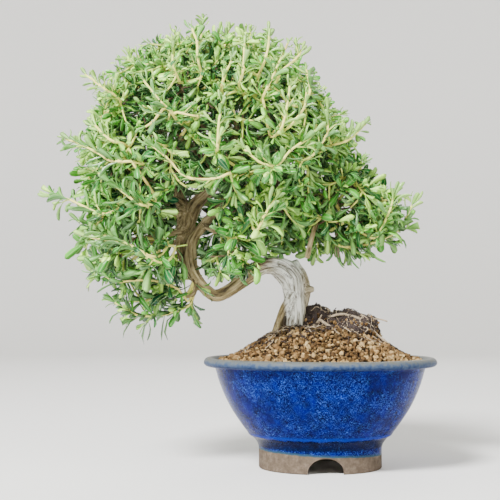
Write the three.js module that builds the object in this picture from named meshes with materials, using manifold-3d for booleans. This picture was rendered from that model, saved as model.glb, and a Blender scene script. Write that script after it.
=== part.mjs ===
// A coprosma grown as a bonsai, standing in a blue glazed bowl on a bare clay foot.
// Millimetres, +Z up. Everything is placed from the bowl's own axis, at the foot, with
// +X to the right and +Y away from the front. The last lines put the origin under the
// middle of the whole plant.
import * as THREE from 'three';
import { mergeVertices } from 'three/addons/utils/BufferGeometryUtils.js';
import Module from 'manifold-3d';

const wasm = await Module();
wasm.setup();

// Between pieces that touch on the real plant
const seat = 0.3;

// The bowl: points are radius and height
const bowl = {
  sides: 32,
  outside: [
    [45.6, 0], [45.6, 13], [46.2, 17], [49.1, 21.8], [52.1, 24.2], [53.6, 25.6],
    [60.4, 35], [69.4, 50], [75.4, 64], [77.8, 73.4], [84.2, 75], [86.6, 77.6],
    [86, 80.2], [83.4, 81.4], [79, 79.6],
  ],
  inside: [[74, 72], [64.6, 50.5], [50.6, 31], [40.6, 22.5]],
  floorTop: 22.5,
  holeRadius: 8,
  footHollow: 14.2,
  footInner: 39.8,
};

// Three low arches cut through the foot ring, from one radius to another
const arch = { count: 3, width: 25.8, height: 11.3, straight: 1.5, firstAngle: -88, from: 34, to: 50 };

// The net that keeps the grit in, laid on the bowl's floor over its hole
const net = { size: 26, thickness: 1, holes: 2, hole: 7, bar: 1.6 };

// The soil is a mound of coarse grit; grain is how far its surface goes up and down
const mound = {
  edgeRadius: 77.9,
  edgeHeight: 79,
  top: 103,
  flatRadius: 20,
  rings: 12,
  grain: 1.8,
  netRoom: 19.5,
  seed: 11,
};

// Matted dark roots stand out of the soil behind the trunk's foot
const rootLumps = [
  { centre: [-2, 3, 104], size: [13, 15, 16.5], detail: 1 },
  { centre: [20, 1, 98], size: [24, 24, 18], detail: 2 },
];
const rootRough = 2.2;
const rootSeed = 23;
// Roots that lie over the mat; a route's numbers are x, y, z and the radius there
const rootStrands = [
  [[2, -9, 108, 1.1], [12, -12, 113, 1.1], [29, -13, 110, 1], [41, -11, 99, 0.9], [51, -10, 91, 0.8]],
  [[-1, -10, 110, 1.2], [8, -20, 103, 1.1], [20, -25, 94, 1], [30, -29, 88, 0.8]],
  [[3, 10, 112, 1.2], [16, 20, 107, 1.1], [30, 25, 93, 0.9], [38, 30, 86, 0.8]],
  [[28, 4, 112, 1], [38, 8, 105, 1], [45, 12, 95, 0.9], [52, 15, 89, 0.8]],
  [[34, -4, 109, 0.9], [43, -2, 110, 0.7], [50, -4, 108, 0.6]],
];

// The trunk rises, arches to the left, dips, and turns up again into the crown
const trunkRoute = [
  [-23, 3, 80, 13.5], [-22, 1, 95, 11.5], [-18, 0, 109, 8.6], [-18, -1, 121, 8.2],
  [-19, -2, 131, 8.2], [-21, -2, 140, 8.8], [-28, -3, 147, 8.6], [-36, -4, 150, 7.4],
  [-45, -6, 148, 6], [-53, -8, 142, 5.4], [-61, -10, 136, 4.9], [-69, -12, 130, 4.7],
  [-78, -14, 127, 4.5], [-85, -15, 132, 4.4], [-91, -15, 139, 4.4], [-95, -15, 148, 4.4],
  [-96, -15, 158, 4.2], [-95, -15, 167, 4], [-91, -15, 174, 3.8], [-86, -14, 180, 3.6],
  [-80, -12, 187, 3.4], [-74, -10, 194, 3.2], [-67, -8, 202, 3], [-58, -5, 207, 2.8],
];
// A second stem leaves the bend and swells where it forks
const secondStem = [
  [-93, -12, 139, 2.6], [-100, -9, 146, 2.4], [-103, -6, 155, 2.8], [-104, -4, 164, 3.6],
  [-103, -3, 170, 4.6], [-101, -2, 178, 6.2], [-99, 0, 188, 7.4],
];
const forkLeft = [[-100, 0, 184, 5.6], [-104, 4, 197, 4.6], [-107, 8, 208, 4], [-112, 10, 219, 3]];
const forkRight = [
  [-98, 0, 185, 5.6], [-93, 0, 196, 5.2], [-86, -2, 203, 4.6], [-78, -4, 210, 4.2],
  [-71, -6, 218, 3.8], [-64, -6, 225, 3.2],
];
// A root leg beside the trunk, an older stem cut short behind it, and a knot
const rootLeg = [
  [-22, -3, 127, 3.4], [-29, -4, 118, 2.9], [-33, -4, 109, 2.7], [-38, -4, 98, 3], [-41, -4, 86, 3.4],
];
const cutStem = [
  [-21, 5, 160, 2.6], [-17, 6, 151, 3.4], [-13, 6, 142, 4.2], [-11, 5, 132, 4.6], [-14, 3, 119, 4.8],
];
const knot = [[-14, 2, 131, 3.4], [-8, 1, 132, 2.8], [-4, 1, 132, 2.2]];
const woodSides = { trunk: 8, second: 7, fork: 6, limb: 4 };
// Sawn-off stubs below the right of the crown
const stubs = [
  [[0, -17, 201, 1.6], [-3, -24, 186, 1.9], [-11, -30, 154, 2.1]],
  [[14, -7, 198, 1.4], [13, -12, 178, 1.6], [12, -14, 155, 1.9]],
];

// Limbs, each from inside the wood that bears it out to where its shoots spread
const limbs = [
  [[-66, -5, 222, 3.2], [-70, -16, 246, 2.6], [-77, -30, 268, 2.1], [-79, -36, 281, 1.8]],
  [[-66, -5, 222, 3], [-66, 14, 246, 2.5], [-70, 34, 270, 2], [-71, 43, 284, 1.7]],
  [[-110, 9, 214, 3], [-118, 4, 240, 2.4], [-128, -10, 264, 1.9]],
  [[-103, 3, 196, 2.8], [-122, -18, 208, 2.4], [-153, -46, 226, 1.7]],
  [[-108, 8, 211, 2.8], [-128, 26, 228, 2.3], [-151, 46, 238, 1.8]],
  [[-67, -5, 222, 3], [-48, -10, 240, 2.4], [-26, -22, 262, 1.8]],
  [[-67, -5, 221, 2.8], [-46, 18, 234, 2.3], [-22, 50, 253, 1.7]],
  [[-62, -6, 205, 2.6], [-48, -28, 212, 2.2], [-33, -54, 220, 1.7]],
  [[-101, 0, 188, 2.6], [-126, -9, 191, 2.2], [-157, -16, 189, 1.7]],
  [[-92, -15, 141, 2], [-94, -18, 128, 1.9], [-101, -19, 127, 1.8], [-108, -19, 131, 1.6]],
  [[-103, -4, 167, 2.4], [-119, 14, 168, 2], [-136, 40, 168, 1.6]],
  [[-102, -3, 175, 2.4], [-120, -20, 171, 2], [-142, -42, 166, 1.6]],
  [[-60, -6, 206, 2.8], [-32, -6, 206, 2.4], [-6, -8, 201, 2.2], [16, -6, 197, 2], [40, 0, 192, 1.6]],
  [[-10, -8, 202, 2], [10, -26, 200, 1.6]],
  [[-8, -8, 201, 2], [10, 28, 197, 1.6]],
  [[-87, -14, 179, 2.2], [-74, -28, 172, 1.9], [-62, -44, 166, 1.6]],
  [[-67, -8, 202, 2.6], [-64, 24, 200, 2.2], [-64, 60, 196, 1.7]],
  [[-74, -5, 215, 2.6], [-86, -38, 226, 2.2], [-102, -64, 238, 1.7]],
  [[-67, -5, 221, 2.6], [-62, -38, 238, 2.2], [-62, -68, 252, 1.7]],
  [[-107, 8, 209, 2.6], [-112, 40, 232, 2.2], [-114, 70, 252, 1.7]],
];

// The crown's outer shape: shoots grow out to points spread evenly over these four rounds.
// Count is for the whole round; points that lie inside another round are left out.
const crown = [
  { centre: [-79, 0, 238], reach: [117, 94, 108], count: 36, lowest: -0.72 },
  { centre: [-128, 0, 163], reach: [56, 58, 52], count: 13, lowest: -1 },
  { centre: [14, 0, 196], reach: [54, 48, 37], count: 12, lowest: -1 },
  { centre: [-64, -42, 164], reach: [30, 28, 26], count: 6, lowest: -1 },
];
// From the front the bare stems show through an opening in the leaves
const window = { left: -118, right: -70, low: 150, high: 206 };

const shoot = {
  step: 0.13,
  firstStep: 0.2,
  leastOut: 1,
  outStep: 0.25,
  outSteps: 20,
  endTries: 8,
  aside: 8,
  baseRadius: 1.2,
  tipRadius: 0.9,
  tipInside: 0.87,
  bow: 0.06,
  sides: 3,
  sideShoots: 2,
  firstShare: 0.45,
  nextShare: 0.25,
  sideSides: 3,
  sideLength: 24,
  sideAngle: 58,
  clear: 0.4,
};
const leaf = { length: 17, width: 5, thickness: 0.7, widest: 0.6, rise: 1.6 };
// Along a stem as a share of it, round it in half turns, and away from it in degrees
const leafPlaces = {
  stem: [
    { share: 0.97, turn: 0, angle: 28 },
    { share: 0.86, turn: 1, angle: 50 },
  ],
  side: [{ share: 0.95, turn: 0, angle: 30 }, { share: 0.78, turn: 1, angle: 45 }],
};

const colours = {
  glaze: 0x123f95,
  clayNet: 0x2b2e2c,
  soil: 0xb3945f,
  roots: 0x3b2d2a,
  bark: 0x8f8472,
  leaf: 0x6f9e5e,
};

function finish(colour, roughness) {
  return new THREE.MeshStandardMaterial({ color: colour, roughness, metalness: 0 });
}

// Repeatable draws between 0 and 1
function drawsFrom(seed) {
  let state = seed * 7919;
  const draw = () => {
    state = (state * 1664525 + 1013904223) % 4294967296;
    return state / 4294967296;
  };
  draw();
  draw();
  return draw;
}

function toVector([x, y, z]) {
  return new THREE.Vector3(x, y, z);
}

function weld(geometry) {
  geometry.deleteAttribute('normal');
  geometry.deleteAttribute('uv');
  return mergeVertices(geometry, 1e-4);
}

// A closed geometry as a solid, without the empty triangles at poles and pinched ends
function solid(geometry) {
  const welded = weld(geometry);
  const index = welded.index.array;
  const triangles = [];
  for (let i = 0; i < index.length; i += 3) {
    const [a, b, c] = [index[i], index[i + 1], index[i + 2]];
    if (a !== b && b !== c && c !== a) triangles.push(a, b, c);
  }
  const mesh = new wasm.Mesh({
    numProp: 3,
    vertProperties: new Float32Array(welded.attributes.position.array),
    triVerts: new Uint32Array(triangles),
  });
  return new wasm.Manifold(mesh);
}

function join(solids) {
  return solids.reduce((whole, next) => whole.add(next));
}

// The largest closed body, so that no scrap and no sealed hollow is left
function oneBody(whole) {
  const bodies = whole.decompose();
  return bodies.reduce((a, b) => (b.volume() > a.volume() ? b : a));
}

function asMesh(name, whole, material) {
  const { vertProperties, triVerts } = oneBody(whole).getMesh();
  const geometry = new THREE.BufferGeometry();
  geometry.setAttribute('position', new THREE.BufferAttribute(vertProperties, 3));
  geometry.setIndex(new THREE.BufferAttribute(triVerts, 1));
  geometry.computeVertexNormals();
  const mesh = new THREE.Mesh(geometry, material);
  mesh.name = name;
  return mesh;
}

function spun(profile, sides) {
  const points = profile.map(([radius, height]) => new THREE.Vector2(radius, height));
  const geometry = new THREE.LatheGeometry(points, sides);
  geometry.rotateX(Math.PI / 2);
  return geometry;
}

// A round limb through the points of a route, with a ring at each point. A thicker one,
// longer at both ends too, is the room that the limb needs in what it stands in.
function limb(route, sides, thicker = 0) {
  const curve = new THREE.CatmullRomCurve3(route.map(toVector));
  const last = route.length - 1;
  const rings = [];
  let across = new THREE.Vector3(0, 1, 0);
  for (let i = 0; i <= last; i += 1) {
    const along = curve.getTangent(i / last);
    if (i === 0 && Math.abs(along.y) > 0.8) across = new THREE.Vector3(1, 0, 0);
    across = across.clone().addScaledVector(along, -across.dot(along)).normalize();
    const past = thicker * ((i === last) - (i === 0));
    const centre = curve.getPoint(i / last).addScaledVector(along, past);
    rings.push({ centre, across, beside: across.clone().cross(along), radius: route[i][3] + thicker });
  }
  const geometry = new THREE.CylinderGeometry(1, 1, 1, sides, last);
  const position = geometry.attributes.position;
  const point = new THREE.Vector3();
  for (let i = 0; i < position.count; i += 1) {
    const ring = rings[Math.round((position.getY(i) + 0.5) * last)];
    point.copy(ring.centre);
    point.addScaledVector(ring.across, position.getX(i) * ring.radius);
    point.addScaledVector(ring.beside, position.getZ(i) * ring.radius);
    position.setXYZ(i, point.x, point.y, point.z);
  }
  return solid(geometry);
}

// A round lump with an uneven surface
function lump({ centre, size, detail }, draw, thicker) {
  const geometry = weld(new THREE.IcosahedronGeometry(1, detail));
  const position = geometry.attributes.position;
  const point = new THREE.Vector3();
  for (let i = 0; i < position.count; i += 1) {
    const outward = point.fromBufferAttribute(position, i).clone();
    const rough = rootRough * (2 * draw() - 1);
    point.multiply(toVector(size)).addScaledVector(outward, rough + thicker).add(toVector(centre));
    position.setXYZ(i, point.x, point.y, point.z);
  }
  return solid(geometry);
}

function makePot() {
  const { outside, inside, floorTop, holeRadius, footHollow, footInner, sides } = bowl;
  const hole = [[holeRadius, floorTop], [holeRadius, footHollow]];
  const underside = [...hole, [footInner - 1, footHollow], [footInner, 0]];
  const profile = [...outside, ...inside, ...underside, outside[0]];
  let clay = solid(spun(profile, sides));
  const cut = new THREE.Shape();
  const half = arch.width / 2;
  cut.moveTo(-half, -1);
  cut.lineTo(half, -1);
  cut.lineTo(half, arch.straight);
  cut.absellipse(0, arch.straight, half, arch.height - arch.straight, 0, Math.PI, false, 0);
  const depth = arch.to - arch.from;
  for (let i = 0; i < arch.count; i += 1) {
    const block = new THREE.ExtrudeGeometry(cut, { depth, bevelEnabled: false, curveSegments: 6 });
    block.rotateX(Math.PI / 2);
    block.translate(0, arch.to, 0);
    block.rotateZ(THREE.MathUtils.degToRad(arch.firstAngle - 90 + (360 / arch.count) * i));
    clay = clay.subtract(solid(block));
  }
  return asMesh('pot', clay, finish(colours.glaze, 0.25));
}

function makeNet() {
  const height = bowl.floorTop + seat + net.thickness / 2;
  const plate = new THREE.BoxGeometry(net.size, net.size, net.thickness);
  plate.translate(0, 0, height);
  let sheet = solid(plate);
  const centreOf = (row) => (row - (net.holes - 1) / 2) * (net.hole + net.bar);
  for (let i = 0; i < net.holes * net.holes; i += 1) {
    const hole = new THREE.BoxGeometry(net.hole, net.hole, net.thickness * 2);
    hole.translate(centreOf(i % net.holes), centreOf(Math.floor(i / net.holes)), height);
    sheet = sheet.subtract(solid(hole));
  }
  return asMesh('drain_net', sheet, finish(colours.clayNet, 0.7));
}

// Height of the soil at a distance from the bowl's axis
function soilHeight(radius) {
  const rise = 1 - THREE.MathUtils.smoothstep(radius, mound.flatRadius, mound.edgeRadius);
  return mound.edgeHeight + (mound.top - mound.edgeHeight) * rise;
}

// The grit's surface: each point of the heap is pushed about by the size of a grain
function roughen(heap, draw) {
  const position = heap.attributes.position;
  const point = new THREE.Vector3();
  for (let i = 0; i < position.count; i += 1) {
    point.fromBufferAttribute(position, i);
    const radius = Math.hypot(point.x, point.y);
    if (point.z > mound.edgeHeight && radius < mound.edgeRadius - mound.grain) {
      const push = new THREE.Vector3(draw() - 0.5, draw() - 0.5, 2 * draw() - 1);
      point.addScaledVector(push, mound.grain);
      position.setXYZ(i, point.x, point.y, point.z);
    }
  }
}

function makeSoil(cuts) {
  const netTop = bowl.floorTop + net.thickness + 2 * seat;
  const wall = [...bowl.inside].reverse().map(([radius, height]) => [radius - seat, height + seat]);
  const overNet = [[0, netTop], [mound.netRoom, netTop], [mound.netRoom + 1, bowl.floorTop + seat]];
  const profile = [...overNet, ...wall];
  for (let i = 0; i <= mound.rings; i += 1) {
    const radius = mound.edgeRadius * (1 - i / mound.rings);
    profile.push([radius, soilHeight(radius)]);
  }
  const heap = weld(spun(profile, bowl.sides));
  roughen(heap, drawsFrom(mound.seed));
  const whole = cuts.reduce((left, cutter) => left.subtract(cutter), solid(heap));
  return asMesh('soil', whole, finish(colours.soil, 0.95));
}

function rootSolid(thicker) {
  const draw = drawsFrom(rootSeed);
  const lumps = rootLumps.map((size) => lump(size, draw, thicker));
  const strands = rootStrands.map((route) => limb(route, 3, thicker));
  return join([...lumps, ...strands]);
}

function alongRoute(route, share) {
  const curve = new THREE.CatmullRomCurve3(route.map(toVector));
  return { point: curve.getPoint(share), along: curve.getTangent(share) };
}

function insideRound(point, round, share) {
  const offset = point.clone().sub(toVector(round.centre)).divide(toVector(round.reach));
  return offset.length() < share;
}

// Where the shoots end: points of a spiral over each round of the crown
function shootEnds() {
  const golden = Math.PI * (3 - Math.sqrt(5));
  const ends = [];
  crown.forEach((round) => {
    for (let i = 0; i < round.count; i += 1) {
      const rise = 1 - (2 * i + 1) / round.count;
      const flat = Math.sqrt(1 - rise * rise);
      const outward = new THREE.Vector3(Math.cos(golden * i) * flat, Math.sin(golden * i) * flat, rise);
      const surface = outward.clone().multiply(toVector(round.reach)).add(toVector(round.centre));
      const hidden = crown.some((other) => other !== round && insideRound(surface, other, 0.93));
      const inWindow = surface.y < 0 && surface.x > window.left && surface.x < window.right
        && surface.z > window.low && surface.z < window.high;
      if (rise > round.lowest && !hidden && !inWindow) {
        const end = outward.clone().multiply(toVector(round.reach)).multiplyScalar(shoot.tipInside);
        ends.push(end.add(toVector(round.centre)));
      }
    }
  });
  return ends;
}

// Each shoot grows from the limb whose end is nearest. The one most in line with the limb
// grows from its tip, and each next one a step further back.
function planShoots() {
  const plans = shootEnds().map((end, number) => {
    const reach = limbs.map((route) => toVector(route[route.length - 1]).distanceTo(end));
    return { number, end, limb: reach.indexOf(Math.min(...reach)) };
  });
  limbs.forEach((route, index) => {
    const tip = alongRoute(route, 1);
    const turned = ({ end }) => end.clone().sub(tip.point).angleTo(tip.along);
    const own = plans.filter((plan) => plan.limb === index).sort((a, b) => turned(a) - turned(b));
    own.forEach((plan, order) => {
      plan.root = alongRoute(route, 1 - shoot.step * (order + shoot.firstStep)).point;
    });
  });
  return plans;
}

function entry(point, radius) {
  return [point.x, point.y, point.z, radius];
}

// The main stem of a shoot, which starts a little way out of its limb and bows up
function stemRoute(root, end, out) {
  const along = end.clone().sub(root).normalize();
  const start = root.clone().addScaledVector(along, out);
  const middle = start.clone().lerp(end, 0.5);
  middle.z -= start.distanceTo(end) * shoot.bow;
  return [
    entry(start, shoot.baseRadius),
    entry(middle, (shoot.baseRadius + shoot.tipRadius) / 2),
    entry(end, shoot.tipRadius),
  ];
}

// What is already placed, so that leaves and stems are bent clear of their neighbours
const placed = [];

function boxOf(whole) {
  const { min, max } = whole.boundingBox();
  return new THREE.Box3(new THREE.Vector3(...min), new THREE.Vector3(...max));
}

function place(owner, whole) {
  placed.push({ owner, whole, box: boxOf(whole) });
}

function isClear(owner, room) {
  const box = boxOf(room);
  const near = placed.filter((other) => other.owner !== owner && other.box.intersectsBox(box));
  return near.every((other) => room.intersect(other.whole).isEmpty());
}

// The first of a few tries whose room is free of other pieces, or nothing
function firstClear(owner, tries, attempt) {
  for (let i = 0; i < tries; i += 1) {
    const { whole, room, keep } = attempt(i);
    if (isClear(owner, room)) {
      place(owner, whole);
      return { whole, ...keep };
    }
  }
  return null;
}

function makeTrunk() {
  const pieces = [
    limb(trunkRoute, woodSides.trunk),
    limb(secondStem, woodSides.second),
    ...[forkLeft, forkRight, rootLeg, cutStem, knot].map((route) => limb(route, woodSides.fork)),
    ...[...stubs, ...limbs].map((route) => limb(route, woodSides.limb)),
  ];
  pieces.forEach((piece) => place('trunk', piece));
  return asMesh('trunk', join(pieces), finish(colours.bark, 0.8));
}

// Rooms in the soil and in the root mat for the wood that stands in them
function woodRooms() {
  const foot = limb(trunkRoute.slice(0, 5), woodSides.trunk, seat);
  return [foot, ...[rootLeg, cutStem, knot].map((route) => limb(route, woodSides.fork, seat))];
}

// The stem is moved out until it clears its limb, and its end aside if something is in the way
function growStem(plan, draw) {
  let end = plan.end;
  return firstClear(plan.number, shoot.outSteps * shoot.endTries, (i) => {
    const step = i % shoot.outSteps;
    if (i > 0 && step === 0) {
      const aside = new THREE.Vector3(draw() - 0.5, draw() - 0.5, draw() - 0.5);
      end = plan.end.clone().addScaledVector(aside, shoot.aside * (i / shoot.outSteps));
    }
    const route = stemRoute(plan.root, end, shoot.leastOut + shoot.outStep * step);
    return {
      whole: limb(route, shoot.sides),
      room: limb(route, shoot.sides, seat),
      keep: { route },
    };
  });
}

// A direction that leaves a stem at an angle, on the side given by the turn round it
function leaving(along, turn, angle) {
  const up = Math.abs(along.z) > 0.9 ? new THREE.Vector3(1, 0, 0) : new THREE.Vector3(0, 0, 1);
  const across = up.cross(along).normalize();
  const outward = across.applyAxisAngle(along, turn);
  return along.clone().multiplyScalar(Math.cos(angle)).addScaledVector(outward, Math.sin(angle));
}

function growSideShoot(number, stem, share, turn, draw) {
  const { point, along } = alongRoute(stem.route, share);
  const angle = THREE.MathUtils.degToRad(shoot.sideAngle);
  return firstClear(number, 10, (i) => {
    const direction = leaving(along, turn + (draw() - 0.5) * i * 0.5, angle);
    const length = shoot.sideLength * (0.85 + 0.3 * draw()) * (1 - 0.05 * i);
    const end = point.clone().addScaledVector(direction, length);
    const route = [entry(point, shoot.tipRadius), entry(end, shoot.tipRadius)];
    return {
      whole: limb(route, shoot.sideSides),
      room: limb(route, shoot.sideSides, shoot.clear),
      keep: { route },
    };
  });
}

// A leaf is pinched at its foot and tip, widest past its middle, and arched along its length
function blade(root, direction, face, length, larger = 0) {
  const side = direction.clone().cross(face).normalize();
  const upper = side.clone().cross(direction);
  const stations = [
    { at: 0, width: 0, lift: 0 },
    { at: leaf.widest * length, width: leaf.width + 2 * larger, lift: leaf.rise },
    { at: length + larger, width: larger, lift: 0 },
  ];
  const geometry = new THREE.BoxGeometry(1, 1, 1, 1, stations.length - 1, 1);
  const position = geometry.attributes.position;
  const point = new THREE.Vector3();
  for (let i = 0; i < position.count; i += 1) {
    const station = stations[Math.round((position.getY(i) + 0.5) * (stations.length - 1))];
    point.copy(root).addScaledVector(direction, station.at);
    point.addScaledVector(side, position.getX(i) * station.width);
    point.addScaledVector(upper, position.getZ(i) * (leaf.thickness + 2 * larger) + station.lift);
    position.setXYZ(i, point.x, point.y, point.z);
  }
  return solid(geometry);
}

function growLeaf(number, route, share, turn, angle, draw) {
  const { point, along } = alongRoute(route, share);
  return firstClear(number, 8, (i) => {
    const swing = THREE.MathUtils.degToRad(angle) + (draw() - 0.5) * (0.3 + 0.15 * i);
    const direction = leaving(along, turn + (draw() - 0.5) * (0.4 + 0.5 * i), swing);
    const length = leaf.length * (0.85 + 0.3 * draw()) * (1 - 0.04 * i);
    const face = along.clone().add(new THREE.Vector3(0, 0, 0.3));
    return {
      whole: blade(point, direction, face, length),
      room: blade(point, direction, face, length, shoot.clear),
      keep: {},
    };
  });
}

function growSprays(plans) {
  const draws = plans.map((plan) => drawsFrom(100 + plan.number));
  const stems = plans.map((plan, k) => growStem(plan, draws[k]));
  const sprays = plans.map((plan, k) => ({ plan, stem: stems[k], draw: draws[k], parts: [] }));
  const grown = sprays.filter((spray) => spray.stem);
  grown.forEach(({ plan, stem, draw, parts }) => {
    const firstTurn = draw() * 2 * Math.PI;
    parts.push(stem);
    for (let j = 0; j < shoot.sideShoots; j += 1) {
      const share = shoot.firstShare + shoot.nextShare * j;
      parts.push(growSideShoot(plan.number, stem, share, firstTurn + j * Math.PI, draw));
    }
  });
  grown.forEach(({ plan, draw, parts }) => {
    const twigs = parts.filter((part) => part);
    twigs.forEach(({ route }, j) => {
      const list = j === 0 ? leafPlaces.stem : leafPlaces.side;
      const phase = draw() * 2 * Math.PI;
      list.forEach(({ share, turn, angle }) => {
        parts.push(growLeaf(plan.number, route, share, phase + turn * Math.PI, angle, draw));
      });
    });
  });
  return grown.map(({ parts }, k) => {
    const pieces = parts.filter((part) => part).map(({ whole }) => whole);
    const name = `spray_${String(k + 1).padStart(2, '0')}`;
    return asMesh(name, join(pieces), finish(colours.leaf, 0.6));
  });
}

const plans = planShoots();
const trunk = makeTrunk();
const rooms = woodRooms();
const rootMat = rooms.reduce((mat, room) => mat.subtract(room), rootSolid(0));

const bonsai = new THREE.Group();
bonsai.add(makePot());
bonsai.add(makeNet());
bonsai.add(makeSoil([...rooms, rootSolid(seat)]));
bonsai.add(asMesh('root_mat', rootMat, finish(colours.roots, 0.9)));
bonsai.add(trunk);
growSprays(plans).forEach((spray) => bonsai.add(spray));

// The origin goes under the middle of the whole plant's box
const whole = new THREE.Box3().setFromObject(bonsai);
const middle = whole.getCenter(new THREE.Vector3());
bonsai.position.set(-middle.x, -middle.y, -whole.min.z);

export default bonsai;
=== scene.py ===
# A coprosma bonsai in a blue glazed bowl.
# Shapes are made in millimetres from the bowl's axis, +X right, +Y to the back and +Z up
# from its foot. finishPiece puts them in the frame, in metres.
from functools import partial
from math import cos, hypot, pi, radians, sin, sqrt

import bmesh
import bpy
from mathutils import Matrix, Vector, noise
from mathutils.kdtree import KDTree


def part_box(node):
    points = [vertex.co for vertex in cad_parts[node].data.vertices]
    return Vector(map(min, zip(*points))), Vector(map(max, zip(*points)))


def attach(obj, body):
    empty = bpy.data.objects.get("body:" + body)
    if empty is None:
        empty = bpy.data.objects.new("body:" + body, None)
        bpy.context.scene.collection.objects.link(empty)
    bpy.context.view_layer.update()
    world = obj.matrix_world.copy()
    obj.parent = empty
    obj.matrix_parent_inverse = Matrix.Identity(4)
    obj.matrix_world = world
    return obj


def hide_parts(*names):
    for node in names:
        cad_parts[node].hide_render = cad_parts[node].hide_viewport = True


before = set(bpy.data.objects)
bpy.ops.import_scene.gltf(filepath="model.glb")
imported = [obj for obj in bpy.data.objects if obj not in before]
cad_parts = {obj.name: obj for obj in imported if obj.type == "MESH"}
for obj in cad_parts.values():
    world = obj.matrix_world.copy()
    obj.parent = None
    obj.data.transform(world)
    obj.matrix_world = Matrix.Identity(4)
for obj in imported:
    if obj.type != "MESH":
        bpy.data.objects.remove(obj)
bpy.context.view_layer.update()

potLow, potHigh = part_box("pot")
potAxis = Vector(((potLow.x + potHigh.x) / 2, (potLow.y + potHigh.y) / 2, 0))
toFrame = Matrix.Translation(potAxis) @ Matrix.Scale(0.001, 4)
up = Vector((0, 0, 1))
golden = pi * (3 - sqrt(5))    # the turn that spreads points evenly
noise.seed_set(1)    # or noise_vector differs from run to run


def drawsFrom(seed):
    # repeatable draws between 0 and 1
    state = seed * 7919

    def draw():
        nonlocal state
        state = (state * 1664525 + 1013904223) % 4294967296
        return state / 4294967296

    draw()
    draw()
    return draw


def between(low, high, share):
    return low + (high - low) * share


def smoothStep(value, start, end):
    t = max(0.0, min(1.0, (value - start) / (end - start)))
    return t * t * (3 - 2 * t)


def spanAt(stops, share):
    # which span of a line a share of it falls in, and how far along that span
    spans = len(stops) - 1
    i = min(int(share * spans), spans - 1)
    return i, share * spans - i


def splinePoint(points, share):
    # a smooth line through the points, even where they lie unevenly
    i, t = spanAt(points, share)
    p1, p2 = points[i], points[i + 1]
    p0 = points[i - 1] if i else p1 * 2 - p2
    p3 = points[i + 2] if i + 2 < len(points) else p2 * 2 - p1
    d0, d1, d2 = [(a - b).length_squared ** 0.25 for a, b in ((p0, p1), (p1, p2), (p2, p3))]
    t1 = ((p1 - p0) / d0 - (p2 - p0) / (d0 + d1) + (p2 - p1) / d1) * d1
    t2 = ((p2 - p1) / d1 - (p3 - p1) / (d1 + d2) + (p3 - p2) / d2) * d1
    return (p1 + t1 * t + (p2 * 3 - p1 * 3 - t1 * 2 - t2) * t ** 2
            + (p1 * 2 - p2 * 2 + t1 + t2) * t ** 3)


def alongRoute(route, share):
    # place, direction and radius at a share of a route of x, y, z and radius
    points = [Vector(stop[:3]) for stop in route]
    ahead = splinePoint(points, min(1, share + 0.0001))
    behind = splinePoint(points, max(0, share - 0.0001))
    i, t = spanAt(route, share)
    radius = route[i][3] * (1 - t) + route[i + 1][3] * t
    return splinePoint(points, share), (ahead - behind).normalized(), radius


def placesAlong(route, shares):
    return [alongRoute(route, share)[0] for share in shares]


def routeLength(route):
    return sum((Vector(a[:3]) - Vector(b[:3])).length for a, b in zip(route, route[1:]))


def stopsAlong(route, step):
    # place, direction and radius about every step of a route
    count = max(2, round(routeLength(route) / step))
    return [alongRoute(route, i / count) for i in range(count + 1)]


def smoothLine(route, step):
    return [(place, radius) for place, _, radius in stopsAlong(route, step)]


def towards(turn, rise):
    # the direction that is turned this far round and rises this much
    flat = sqrt(1 - rise * rise)
    return Vector((cos(turn) * flat, sin(turn) * flat, rise))


def roundTubes(lines, sides):
    # round rods with closed ends through lines of places and radii
    curve = bpy.data.curves.new("rods", "CURVE")
    curve.dimensions = "3D"
    curve.bevel_depth = 1
    curve.bevel_resolution = sides // 2 - 2
    curve.use_fill_caps = True
    for line in lines:
        spline = curve.splines.new("POLY")
        spline.points.add(len(line) - 1)
        for point, (place, radius) in zip(spline.points, line):
            point.co = (*place, 1)
            point.radius = radius
    holder = bpy.data.objects.new("rods", curve)
    mesh = bpy.data.meshes.new_from_object(holder)
    bpy.data.objects.remove(holder)
    bpy.data.curves.remove(curve)
    return mesh


def spinProfile(bm, profile, steps, mergeWithin, closed=False):
    # a round surface from its half section of radii and heights
    verts = [bm.verts.new((radius, 0, height)) for radius, height in profile]
    edges = [bm.edges.new(pair) for pair in zip(verts, verts[1:] + verts[:closed])]
    bmesh.ops.spin(bm, geom=verts + edges, cent=(0, 0, 0), axis=(0, 0, 1), angle=2 * pi,
                   steps=steps, use_merge=True)
    bmesh.ops.remove_doubles(bm, verts=bm.verts, dist=mergeWithin)
    bmesh.ops.recalc_face_normals(bm, faces=bm.faces)


def smoothFaces(faces):
    for face in faces:
        face.smooth = True


def roundFaces(bm, sharpAbove):
    # smooth shading, with edges above this angle kept crisp
    smoothFaces(bm.faces)
    for edge in bm.edges:
        if len(edge.link_faces) == 2:
            edge.smooth = edge.calc_face_angle(0) < radians(sharpAbove)


def addMesh(bm, mesh):
    bm.from_mesh(mesh)
    bpy.data.meshes.remove(mesh)


def toMesh(bm, name):
    mesh = bpy.data.meshes.new(name)
    bm.to_mesh(mesh)
    bm.free()
    return mesh


def inScene(name, data):
    obj = bpy.data.objects.new(name, data)
    bpy.context.scene.collection.objects.link(obj)
    return obj


def toObject(bm, name):
    return inScene(name, toMesh(bm, name))


def applyModifiers(obj):
    bpy.context.view_layer.update()
    depsgraph = bpy.context.evaluated_depsgraph_get()
    mesh = bpy.data.meshes.new_from_object(obj.evaluated_get(depsgraph))
    obj.modifiers.clear()
    obj.data = mesh


def finishPiece(obj, slotName, materials, *nodes):
    # into the frame, with its materials, on the body and in place of its solids
    obj.data.transform(toFrame)
    for material in materials:
        obj.data.materials.append(material)
    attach(obj, "root")
    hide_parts(*nodes)
    obj.data.calc_loop_triangles()
    print(f"{obj.name}: {len(obj.data.loop_triangles)} triangles")


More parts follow.
